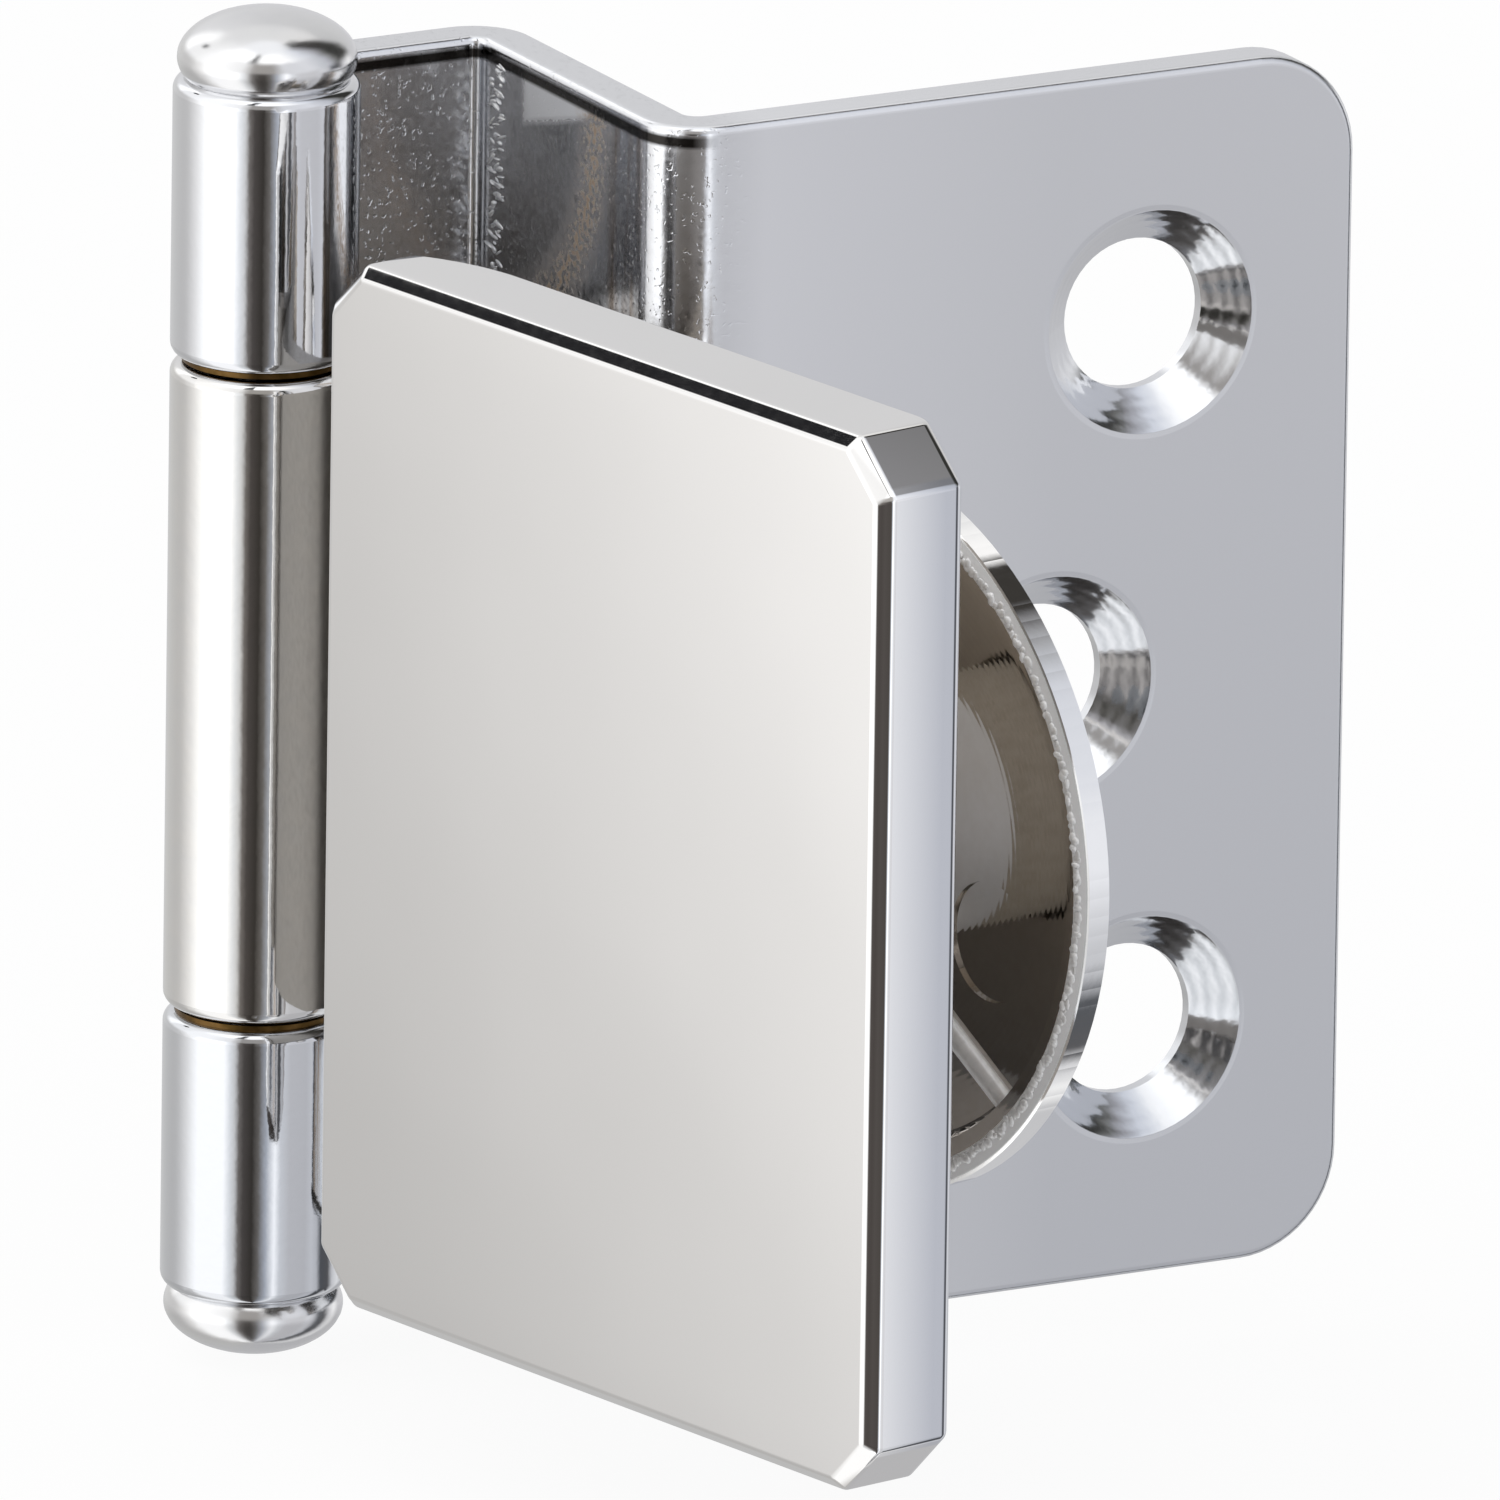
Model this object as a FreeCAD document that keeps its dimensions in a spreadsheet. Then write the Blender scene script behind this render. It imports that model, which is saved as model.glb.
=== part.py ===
"""Glass door hinge: a cranked cabinet leaf, a door leaf on a riveted pin, and a glass clamp.

Millimetres. +Z runs up the pin. The origin is on the back face of the cabinet leaf, midway
between its upper and lower screw holes, and +Y points into the cabinet side that carries it.
"""
import FreeCAD, Part
import math
import os
import Sketcher

SIZES = {
    # Cabinet leaf: one sheet, flat for the screws, a web across the panel edge, two knuckles
    "leaf_height": 50.0,
    "sheet_thickness": 2.0,
    "bend_inner_radius": 0.5,
    "leaf_corner_radius": 4.3,
    "leaf_edge_round": 0.35,
    "pin_to_leaf_back": 12.4,
    "pin_to_web_back": 12.5,
    "pin_to_leaf_end": 41.5,
    # Screw holes
    "pin_to_outer_holes": 32.3,
    "pin_to_middle_hole": 28.0,
    "outer_hole_spacing": 29.3,
    "screw_hole_diameter": 6.2,
    "countersink_diameter": 9.2,
    "countersink_angle": 90.0,
    # Knuckles and pin
    "middle_knuckle_height": 26.6,
    "knuckle_gap": 0.3,
    "knuckle_end_round": 0.5,
    "curl_slit": 0.25,
    "notch_clearance": 0.75,
    "pin_diameter": 3.4,
    "pin_clearance": 0.05,
    "head_diameter": 7.2,
    "head_rise": 1.96,
    "head_drop": 0.8,
    "shim_thickness": 0.2,
    "shim_inset": 0.45,
    # Cover plate
    "cover_width": 35.1,
    "cover_height": 43.0,
    "cover_thickness": 4.2,
    "cover_front_wall": 3.0,
    "cover_start": 12.2,
    "cover_corner_cut": 2.1,
    "cover_bevel": 0.55,
    "cover_back_round": 0.6,
    "cover_edge_thickness": 1.25,
    "cover_roll_radius": 10.0,
    "strap_play": 0.1,
    # Door leaf strap and the stud that holds it
    "strap_length": 42.5,
    "strap_corner_radius": 4.0,
    "crank_start": 3.9,
    "crank_outer_radius": 2.2,
    "stud_diameter": 7.0,
    "stud_play": 0.1,
    "stud_length": 9.0,
    "stud_end_room": 0.5,
    # Clamping dish
    "glass_gap": 8.0,
    "dish_diameter": 29.6,
    "dish_rim_width": 1.0,
    "dish_rim_land": 1.0,
    "dish_ledge_width": 0.7,
    "dish_ledge_depth": 0.25,
    "dish_hollow_depth": 1.0,
    "dish_inner_fillet": 0.4,
    "dish_depth": 3.6,
    "dish_back_diameter": 16.0,
    "dish_back_radius": 15.0,
    "boss_diameter": 10.1,
    "boss_height": 3.1,
    "rib_thickness": 0.75,
    "rib_height": 0.3,
    "rib_offset": 3.6,
    "rib_angle": 31.5,
    "rib_start": 4.0,
    "mark_diameter": 4.9,
    "mark_depth": 0.15,
    "mark_along_rib": 8.1,
    "mark_beside_rib": 1.1,
    # Clamp screw, glass bush and glass pad
    "screw_diameter": 4.0,
    "screw_play": 0.15,
    "thread_play": 0.03,
    "screw_head_diameter": 7.6,
    "screw_length": 12.0,
    "screw_tip_chamfer": 0.3,
    "recess_width": 1.1,
    "recess_span": 4.2,
    "recess_depth": 1.6,
    "pad_thickness": 1.0,
    "pad_start": 6.0,
    "pad_margin": 1.2,
    "pad_corner_radius": 2.0,
    "pad_hole_play": 0.3,
    # Angle of the door past the closed position, as the hinge lies unmounted
    "door_angle": 10.9,
}

# Sizes that follow from the ones above, as expressions of the sheet
BORE_R = "(Sizes.pin_diameter / 2 + Sizes.pin_clearance)"
KNUCKLE_R = f"({BORE_R} + Sizes.sheet_thickness)"
BEND_OUTER_R = "(Sizes.bend_inner_radius + Sizes.sheet_thickness)"
MIDDLE_TOP = "(Sizes.middle_knuckle_height / 2)"
OUTER_START = f"({MIDDLE_TOP} + Sizes.knuckle_gap)"
LEAF_TOP = "(Sizes.leaf_height / 2)"
LEAF_FRONT = "(-Sizes.pin_to_leaf_back - Sizes.sheet_thickness)"
WEB_FRONT = "(Sizes.pin_to_web_back - Sizes.sheet_thickness)"
COVER_FRONT = f"(-{KNUCKLE_R} - Sizes.cover_front_wall)"
COVER_BACK = f"({COVER_FRONT} + Sizes.cover_thickness)"
COVER_END = "(Sizes.cover_start + Sizes.cover_width)"
CLAMP_CENTRE = "(Sizes.cover_start + Sizes.cover_width / 2)"
STRAP_BACK = f"(-{KNUCKLE_R} + Sizes.sheet_thickness)"
RIM_FRONT = f"({STRAP_BACK} + Sizes.glass_gap)"
BOSS_BORE_R = "(Sizes.stud_diameter / 2 + Sizes.stud_play)"
BOSS_FRONT = "(Sizes.dish_hollow_depth - Sizes.boss_height)"

doc = FreeCAD.newDocument("glass_door_hinge")
sheet = doc.addObject("Spreadsheet::Sheet", "Sizes")
for row, (alias, value) in enumerate(SIZES.items(), start=1):
    sheet.set(f"A{row}", alias)
    sheet.set(f"B{row}", str(value))
    sheet.setAlias(f"B{row}", alias)
doc.recompute()

bodies = []


def number(expression):
    """The present value of an expression, to draw a sketch near its solution."""
    value = sheet.evalExpression(str(expression).replace("Sizes.", ""))
    return float(getattr(value, "Value", value))


def new_body(label):
    body = doc.addObject("PartDesign::Body", label)
    body.Label = label
    bodies.append(body)
    return body


def origin_feature(body, role):
    return next(item for item in body.Origin.OriginFeatures if item.Role == role)


def new_sketch(body, name, plane, offset="0"):
    """A sketch on one of the body's own origin planes, moved along its normal by offset."""
    sketch = body.newObject("Sketcher::SketchObject", name)
    sketch.AttachmentSupport = (origin_feature(body, plane), [""])
    sketch.MapMode = "FlatFace"
    sketch.setExpression("AttachmentOffset.Base.z", offset)
    return sketch


def place_point(sketch, geometry, point, x, y):
    """Hold one point of the sketch at the expressions x and y."""
    for kind, expression in (("DistanceX", x), ("DistanceY", y)):
        held = Sketcher.Constraint(kind, -1, 1, geometry, point, number(expression))
        index = sketch.addConstraint(held)
        sketch.setExpression(f"Constraints[{index}]", str(expression))


# The two ends of an outline's side
FIRST_END = 1
SECOND_END = 2


def outline(sketch, points, arcs=None):
    """A closed outline through the points. arcs gives a side its radius and turn, +1 for left."""
    arcs = arcs or {}
    spots = [FreeCAD.Vector(number(x), number(y), 0) for x, y in points]
    first = sketch.GeometryCount
    for side, start in enumerate(spots):
        end = spots[(side + 1) % len(spots)]
        if side not in arcs:
            sketch.addGeometry(Part.LineSegment(start, end), False)
            continue
        radius, turn = arcs[side]
        chord = end - start
        rise = math.sqrt(max(number(radius) ** 2 - (chord.Length / 2) ** 2, 0.0))
        left = FreeCAD.Vector(-chord.y, chord.x, 0).normalize() * turn
        centre = start + chord / 2 + left * rise
        middle = centre - left * number(radius)
        sketch.addGeometry(Part.Arc(start, middle, end), False)
    for side, (x, y) in enumerate(points):
        before = first + (side - 1) % len(points)
        side_before = (side - 1) % len(points)
        turned_before = side_before in arcs and arcs[side_before][1] < 0
        turned_here = side in arcs and arcs[side][1] < 0
        ends_at = FIRST_END if turned_before else SECOND_END
        starts_at = SECOND_END if turned_here else FIRST_END
        joined = Sketcher.Constraint("Coincident", before, ends_at, first + side, starts_at)
        sketch.addConstraint(joined)
        place_point(sketch, first + side, starts_at, x, y)
    for side, (radius, turn) in arcs.items():
        held = Sketcher.Constraint("Radius", first + side, number(radius))
        index = sketch.addConstraint(held)
        sketch.setExpression(f"Constraints[{index}]", radius)


def circle(sketch, x, y, radius):
    centre = FreeCAD.Vector(number(x), number(y), 0)
    ring = Part.Circle(centre, FreeCAD.Vector(0, 0, 1), number(radius))
    index = sketch.addGeometry(ring, False)
    place_point(sketch, index, 3, x, y)
    held = sketch.addConstraint(Sketcher.Constraint("Radius", index, number(radius)))
    sketch.setExpression(f"Constraints[{held}]", radius)


def pad(body, name, sketch, length, midplane=False, reverse=False):
    feature = body.newObject("PartDesign::Pad", name)
    feature.Profile = sketch
    feature.setExpression("Length", length)
    feature.Midplane = midplane
    feature.Reversed = reverse
    return feature


def pocket(body, name, sketch, length=None, midplane=False, reverse=False):
    """A cut of the given length, or right through."""
    feature = body.newObject("PartDesign::Pocket", name)
    feature.Profile = sketch
    if length is None:
        feature.Type = "ThroughAll"
    else:
        feature.setExpression("Length", length)
    feature.Midplane = midplane
    feature.Reversed = reverse
    return feature


def revolve(body, name, sketch, kind="PartDesign::Revolution"):
    """Turn a profile once round the vertical axis of its sketch."""
    feature = body.newObject(kind, name)
    feature.Profile = sketch
    feature.ReferenceAxis = (sketch, ["V_Axis"])
    feature.Angle = 360
    return feature


def chosen_edges(shape, wanted):
    """Names of the edges whose every sampled point passes the test."""
    names = []
    for index, edge in enumerate(shape.Edges, start=1):
        points = edge.discretize(5)
        if all(wanted(point) for point in points):
            names.append(f"Edge{index}")
    return names


def dress(body, kind, name, size_property, size, wanted):
    """A fillet or chamfer on the chosen edges of what the body holds so far."""
    doc.recompute()
    base = body.Tip
    feature = body.newObject(kind, name)
    feature.Base = (base, chosen_edges(base.Shape, wanted))
    feature.setExpression(size_property, size)
    return feature


def near(value, expression):
    return abs(value - number(expression)) < 1e-4


def mirrored(body, name, originals, plane):
    feature = body.newObject("PartDesign::Mirrored", name)
    feature.Originals = originals
    feature.MirrorPlane = (origin_feature(body, plane), [""])
    body.Tip = feature
    return feature


def stand_on_pin(item):
    """Move a piece drawn about the pin's axis to the pin's place."""
    item.setExpression("Placement.Base.x", "-Sizes.pin_to_outer_holes")
    item.setExpression("Placement.Base.y", "Sizes.pin_to_leaf_back")


def hang_on_door(item):
    """Place a piece drawn about the pin with the door closed, and swing it to its rest angle."""
    item.Placement.Rotation = FreeCAD.Rotation(FreeCAD.Vector(0, 0, 1), number("door_angle"))
    stand_on_pin(item)


def hang_on_clamp_axis(item, depth, spin="0"):
    """Place a piece drawn about its own Z on the clamp's axis, depth behind the pin's axis."""
    swing = FreeCAD.Rotation(FreeCAD.Vector(0, 0, 1), number("door_angle"))
    lay_down = FreeCAD.Rotation(FreeCAD.Vector(0, 1, 0), 90)
    turn = FreeCAD.Rotation(FreeCAD.Vector(0, 0, 1), number(spin))
    reach = swing.multVec(FreeCAD.Vector(number(depth), -number(CLAMP_CENTRE), 0))
    pin = FreeCAD.Vector(-number("pin_to_outer_holes"), number("pin_to_leaf_back"), 0)
    item.Placement = FreeCAD.Placement(pin + reach, swing * lay_down * turn)


def knuckle_profile(body, name, low, high):
    """Half section of a knuckle with rounded outer ends, on the XZ plane."""
    sketch = new_sketch(body, name, "XZ_Plane")
    ease = "Sizes.knuckle_end_round"
    outline(sketch, [
        (BORE_R, low),
        (f"{KNUCKLE_R} - {ease}", low),
        (KNUCKLE_R, f"{low} + {ease}"),
        (KNUCKLE_R, f"{high} - {ease}"),
        (f"{KNUCKLE_R} - {ease}", high),
        (BORE_R, high),
    ], {1: (ease, 1), 3: (ease, 1)})
    return sketch


def make_cabinet_leaf():
    """The screwed leaf: bent sheet, notched for the door's knuckle, rolled at top and bottom."""
    body = new_body("cabinet_leaf")
    inner = "Sizes.bend_inner_radius"
    section = new_sketch(body, "leaf_section", "XY_Plane")
    outline(section, [
        ("0", KNUCKLE_R),
        ("0", f"{KNUCKLE_R} - Sizes.sheet_thickness"),
        (f"{WEB_FRONT} - {inner}", f"{KNUCKLE_R} - Sizes.sheet_thickness"),
        (WEB_FRONT, f"{KNUCKLE_R} - Sizes.sheet_thickness - {inner}"),
        (WEB_FRONT, f"{LEAF_FRONT} + {BEND_OUTER_R}"),
        (f"{WEB_FRONT} + {BEND_OUTER_R}", LEAF_FRONT),
        ("Sizes.pin_to_leaf_end", LEAF_FRONT),
        ("Sizes.pin_to_leaf_end", "-Sizes.pin_to_leaf_back"),
        (f"Sizes.pin_to_web_back + {inner}", "-Sizes.pin_to_leaf_back"),
        ("Sizes.pin_to_web_back", f"-Sizes.pin_to_leaf_back + {inner}"),
        ("Sizes.pin_to_web_back", f"{KNUCKLE_R} - {BEND_OUTER_R}"),
        (f"Sizes.pin_to_web_back - {BEND_OUTER_R}", KNUCKLE_R),
    ], {2: (inner, -1), 4: (BEND_OUTER_R, 1), 8: (inner, -1), 10: (BEND_OUTER_R, 1)})
    pad(body, "bent_sheet", section, "Sizes.leaf_height", midplane=True)

    def on_outer_corner(point):
        at_end = near(point.x, "Sizes.pin_to_leaf_end")
        return at_end and near(abs(point.z), LEAF_TOP)

    dress(body, "PartDesign::Fillet", "leaf_corners", "Radius", "Sizes.leaf_corner_radius",
          on_outer_corner)

    def on_leaf_rim(point):
        on_faces = near(point.y, LEAF_FRONT) or near(point.y, "-Sizes.pin_to_leaf_back")
        past_bend = point.x > number(f"{WEB_FRONT} + {BEND_OUTER_R}") - 1e-3
        inside = abs(point.z) < number(LEAF_TOP) - 1e-3 and point.x < number(
            "Sizes.pin_to_leaf_end - Sizes.leaf_corner_radius") - 1e-3
        return on_faces and past_bend and not inside

    dress(body, "PartDesign::Fillet", "eased_edges", "Radius", "Sizes.leaf_edge_round", on_leaf_rim)

    notch = new_sketch(body, "knuckle_notch", "XZ_Plane")
    left = f"-{KNUCKLE_R} - Sizes.notch_clearance"
    right = f"{KNUCKLE_R} + Sizes.notch_clearance"
    outline(notch, [(left, f"-{OUTER_START}"), (right, f"-{OUTER_START}"),
                    (right, OUTER_START), (left, OUTER_START)])
    pocket(body, "middle_notch", notch, midplane=True)

    upper = revolve(body, "upper_knuckle",
                    knuckle_profile(body, "knuckle_section", OUTER_START, LEAF_TOP))
    mirrored(body, "lower_knuckle", [upper], "XY_Plane")

    slit = new_sketch(body, "curl_end", "XY_Plane")
    slit_top = f"{KNUCKLE_R} - Sizes.sheet_thickness"
    slit_low = f"{slit_top} - Sizes.curl_slit"
    outline(slit, [(f"{BORE_R} / 2", slit_low), (f"{KNUCKLE_R} + Sizes.curl_slit", slit_low),
                   (f"{KNUCKLE_R} + Sizes.curl_slit", slit_top), (f"{BORE_R} / 2", slit_top)])
    pocket(body, "curl_slit", slit, midplane=True)

    front = new_sketch(body, "hole_centres", "XZ_Plane", f"-{LEAF_FRONT}")
    hole_radius = "Sizes.screw_hole_diameter / 2"
    circle(front, "Sizes.pin_to_outer_holes", "Sizes.outer_hole_spacing / 2", hole_radius)
    circle(front, "Sizes.pin_to_outer_holes", "-Sizes.outer_hole_spacing / 2", hole_radius)
    circle(front, "Sizes.pin_to_middle_hole", "0", hole_radius)
    doc.recompute()
    holes = body.newObject("PartDesign::Hole", "countersunk_holes")
    holes.Profile = front
    holes.DepthType = "ThroughAll"
    holes.HoleCutType = "Countersink"
    holes.HoleCutCustomValues = True
    holes.setExpression("Diameter", "Sizes.screw_hole_diameter")
    holes.setExpression("HoleCutDiameter", "Sizes.countersink_diameter")
    holes.setExpression("HoleCutCountersinkAngle", "Sizes.countersink_angle")
    stand_on_pin(body)
    return body


def make_door_leaf():
    """The door's strap, curled into the middle knuckle and cranked forward to the cover plate."""
    body = new_body("door_leaf")
    curl_face = f"({KNUCKLE_R} - Sizes.sheet_thickness)"
    jog = f"({curl_face} + {KNUCKLE_R})"
    turn = "(Sizes.sheet_thickness * tan(22.5))"
    first = "-Sizes.crank_start"
    second = f"({first} - {jog})"
    end = "-Sizes.strap_length"
    section = new_sketch(body, "strap_section", "XY_Plane")
    outline(section, [
        (curl_face, "0"),
        (curl_face, first),
        (f"-{KNUCKLE_R}", second),
        (f"-{KNUCKLE_R}", end),
        (STRAP_BACK, end),
        (STRAP_BACK, f"{second} - {turn}"),
        (KNUCKLE_R, f"{first} - {turn}"),
        (KNUCKLE_R, "0"),
    ])
    pad(body, "cranked_strap", section, "Sizes.middle_knuckle_height", midplane=True)

    def on_outer_bend(point):
        front = near(point.x, f"-{KNUCKLE_R}") and near(point.y, second)
        return front or (near(point.x, KNUCKLE_R) and near(point.y, f"{first} - {turn}"))

    dress(body, "PartDesign::Fillet", "crank_bends", "Radius", "Sizes.crank_outer_radius",
          on_outer_bend)
    dress(body, "PartDesign::Fillet", "strap_corners", "Radius", "Sizes.strap_corner_radius",
          lambda point: near(point.y, end) and near(abs(point.z), MIDDLE_TOP))
    profile = knuckle_profile(body, "knuckle_section", f"-{MIDDLE_TOP}", MIDDLE_TOP)
    revolve(body, "middle_knuckle", profile)
    slit = new_sketch(body, "curl_end", "XY_Plane")
    slit_front = f"{curl_face} - Sizes.curl_slit"
    outline(slit, [(slit_front, f"-{BORE_R} / 2"), (slit_front, first),
                   (curl_face, first), (curl_face, f"-{BORE_R} / 2")])
    pocket(body, "curl_slit", slit, midplane=True)
    bore = new_sketch(body, "pin_bore", "XY_Plane")
    circle(bore, "0", "0", BORE_R)
    pocket(body, "pin_bore_cut", bore, midplane=True)
    hole = new_sketch(body, "stud_hole", "YZ_Plane")
    circle(hole, f"-{CLAMP_CENTRE}", "0", BOSS_BORE_R)
    pocket(body, "stud_hole_cut", hole, midplane=True)
    hang_on_door(body)
    return body


def make_cover_plate():
    """The die-cast square plate that shows on the outside of the glass."""
    body = new_body("cover_plate")
    plan = new_sketch(body, "plan", "XY_Plane")
    start = "-Sizes.cover_start"
    roll = "Sizes.cover_roll_radius"
    drop = "(Sizes.cover_thickness - Sizes.cover_edge_thickness)"
    reach = f"sqrt({roll} * {roll} - ({roll} - {drop}) * ({roll} - {drop}))"
    outline(plan, [
        (COVER_FRONT, start),
        (COVER_FRONT, f"-{COVER_END}"),
        (COVER_BACK, f"-{COVER_END}"),
        (COVER_BACK, f"{start} - {reach}"),
        (f"{COVER_FRONT} + Sizes.cover_edge_thickness", start),
    ], {3: (roll, 1)})
    pad(body, "plate", plan, "Sizes.cover_height", midplane=True)

    def on_cut_corner(point):
        at_side = near(point.y, start) or near(point.y, f"-{COVER_END}")
        return at_side and near(abs(point.z), "Sizes.cover_height / 2")

    dress(body, "PartDesign::Chamfer", "cut_corners", "Size", "Sizes.cover_corner_cut",
          on_cut_corner)
    dress(body, "PartDesign::Chamfer", "front_bevel", "Size", "Sizes.cover_bevel",
          lambda point: near(point.x, COVER_FRONT))

    def on_back_rim(point):
        flat = near(point.x, COVER_BACK) and point.y < number(f"{start} - {reach}") + 1e-3
        return flat and not near(point.y, f"{start} - {reach}")

    dress(body, "PartDesign::Fillet", "back_round", "Radius", "Sizes.cover_back_round", on_back_rim)
    seat = new_sketch(body, "strap_seat", "YZ_Plane", f"-{KNUCKLE_R}")
    half = f"({MIDDLE_TOP} + Sizes.strap_play)"
    corner = "Sizes.strap_corner_radius"
    end = "(-Sizes.strap_length - Sizes.strap_play)"
    outline(seat, [
        ("0", f"-{half}"),
        ("0", half),
        (f"{end} + {corner}", half),
        (end, f"{half} - {corner}"),
        (end, f"-{half} + {corner}"),
        (f"{end} + {corner}", f"-{half}"),
    ], {2: (corner, 1), 4: (corner, 1)})
    pocket(body, "strap_pocket", seat, "Sizes.cover_thickness", reverse=True)
    stud = new_sketch(body, "stud_section", "YZ_Plane", f"-{KNUCKLE_R}")
    circle(stud, f"-{CLAMP_CENTRE}", "0", "Sizes.stud_diameter / 2")
    pad(body, "stud", stud, "Sizes.stud_length")
    thread = new_sketch(body, "stud_thread", "YZ_Plane", f"-{KNUCKLE_R}")
    circle(thread, f"-{CLAMP_CENTRE}", "0", "Sizes.screw_diameter / 2 + Sizes.thread_play")
    pocket(body, "thread_bore", thread, "Sizes.stud_length", reverse=True)
    hang_on_door(body)
    return body


def make_clamp_dish():
    """The round clamping dish: thin rim, shallow hollow, short boss and a pair of low ribs."""
    body = new_body("clamp_dish")
    outer = "(Sizes.dish_diameter / 2)"
    inner = f"({outer} - Sizes.dish_rim_width)"
    ledge = f"({inner} - Sizes.dish_ledge_width)"
    floor = "Sizes.dish_hollow_depth"
    soft = "Sizes.dish_inner_fillet"
    boss = "(Sizes.boss_diameter / 2)"
    hole = "(Sizes.screw_diameter / 2 + Sizes.screw_play)"
    head = "(Sizes.screw_head_diameter / 2)"
    bore_end = f"(Sizes.stud_length - {KNUCKLE_R} - {RIM_FRONT} + Sizes.stud_end_room)"
    shell = new_sketch(body, "dish_section", "XZ_Plane")
    outline(shell, [
        (BOSS_BORE_R, BOSS_FRONT),
        (boss, BOSS_FRONT),
        (boss, floor),
        (f"{ledge} - {soft}", floor),
        (ledge, f"{floor} - {soft}"),
        (ledge, "Sizes.dish_ledge_depth"),
        (inner, "Sizes.dish_ledge_depth"),
        (inner, "0"),
        (outer, "0"),
        (outer, "Sizes.dish_rim_land"),
        ("Sizes.dish_back_diameter / 2", "Sizes.dish_depth"),
        (head, "Sizes.dish_depth"),
        (hole, f"Sizes.dish_depth - ({head} - {hole})"),
        (hole, bore_end),
        (BOSS_BORE_R, bore_end),
    ], {3: (soft, -1), 9: ("Sizes.dish_back_radius", 1)})
    revolve(body, "dish", shell)
    top = f"{floor} - Sizes.rib_height"
    bar = new_sketch(body, "rib_outline", "XY_Plane", top)
    low = "(Sizes.rib_offset - Sizes.rib_thickness / 2)"
    high = "(Sizes.rib_offset + Sizes.rib_thickness / 2)"
    end = f"({ledge} - {soft})"
    outline(bar, [("Sizes.rib_start", low), (end, low), (end, high), ("Sizes.rib_start", high)])
    rib = pad(body, "rib", bar, f"Sizes.rib_height + {soft}")
    ejector = new_sketch(body, "ejector_outline", "XY_Plane", floor)
    circle(ejector, "Sizes.mark_along_rib", "-Sizes.mark_beside_rib", "Sizes.mark_diameter / 2")
    mark = pocket(body, "ejector_mark", ejector, "Sizes.mark_depth", reverse=True)
    pair = body.newObject("PartDesign::PolarPattern", "rib_pair")
    pair.Originals = [rib, mark]
    pair.Axis = (origin_feature(body, "Z_Axis"), [""])
    pair.Angle = 360
    pair.Occurrences = 2
    body.Tip = pair
    hang_on_clamp_axis(body, RIM_FRONT, "rib_angle - 90")
    return body


def make_glass_bush():
    """The bush on the stud that fills the hole in the glass, from the strap to the dish's boss."""
    body = new_body("glass_bush")
    section = new_sketch(body, "bush_section", "XZ_Plane")
    radius = "(Sizes.boss_diameter / 2)"
    outline(section, [
        (BOSS_BORE_R, "-Sizes.glass_gap"),
        (radius, "-Sizes.glass_gap"),
        (radius, BOSS_FRONT),
        (BOSS_BORE_R, BOSS_FRONT),
    ])
    revolve(body, "bush", section)
    hang_on_clamp_axis(body, RIM_FRONT)
    return body


def make_clamp_screw():
    """The countersunk screw that draws the dish and the plate together."""
    body = new_body("clamp_screw")
    head = "(Sizes.screw_head_diameter / 2)"
    shank = "(Sizes.screw_diameter / 2)"
    section = new_sketch(body, "screw_section", "XZ_Plane")
    outline(section, [
        ("0", "-Sizes.screw_length"),
        (f"{shank} - Sizes.screw_tip_chamfer", "-Sizes.screw_length"),
        (shank, "-Sizes.screw_length + Sizes.screw_tip_chamfer"),
        (shank, f"-({head} - {shank})"),
        (head, "0"),
        ("0", "0"),
    ])
    revolve(body, "turned_screw", section)
    cross = new_sketch(body, "recess_outline", "XY_Plane")
    arm = "Sizes.recess_width / 2"
    reach = "Sizes.recess_span / 2"
    outline(cross, [
        (f"-{reach}", f"-{arm}"), (f"-{arm}", f"-{arm}"), (f"-{arm}", f"-{reach}"),
        (arm, f"-{reach}"), (arm, f"-{arm}"), (reach, f"-{arm}"),
        (reach, arm), (arm, arm), (arm, reach),
        (f"-{arm}", reach), (f"-{arm}", arm), (f"-{reach}", arm),
    ])
    pocket(body, "cross_recess", cross, "Sizes.recess_depth")
    hang_on_clamp_axis(body, f"{RIM_FRONT} + Sizes.dish_depth")
    return body


def make_glass_pad():
    """The soft sheet on the strap that keeps the metal off the glass."""
    body = new_body("glass_pad")
    face = new_sketch(body, "pad_outline", "YZ_Plane", STRAP_BACK)
    near_side = "(-Sizes.cover_start - Sizes.pad_start)"
    far_side = "(-Sizes.strap_length + Sizes.pad_margin)"
    half = f"({MIDDLE_TOP} - Sizes.pad_margin)"
    corner = "Sizes.pad_corner_radius"
    outline(face, [
        (near_side, f"-{half} + {corner}"),
        (near_side, f"{half} - {corner}"),
        (f"{near_side} - {corner}", half),
        (f"{far_side} + {corner}", half),
        (far_side, f"{half} - {corner}"),
        (far_side, f"-{half} + {corner}"),
        (f"{far_side} + {corner}", f"-{half}"),
        (f"{near_side} - {corner}", f"-{half}"),
    ], {1: (corner, 1), 3: (corner, 1), 5: (corner, 1), 7: (corner, 1)})
    circle(face, f"-{CLAMP_CENTRE}", "0", "Sizes.boss_diameter / 2 + Sizes.pad_hole_play")
    pad(body, "pad_sheet", face, "Sizes.pad_thickness")
    hang_on_door(body)
    return body


def make_shim_washer(name, seat):
    """A thin ring in a knuckle gap, lying against the cabinet leaf's knuckle at height seat."""
    body = new_body(name)
    ring = new_sketch(body, "ring_outline", "XY_Plane", seat)
    circle(ring, "0", "0", f"{KNUCKLE_R} - Sizes.shim_inset")
    circle(ring, "0", "0", BORE_R)
    pad(body, "ring", ring, "Sizes.shim_thickness")
    stand_on_pin(body)
    return body


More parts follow.
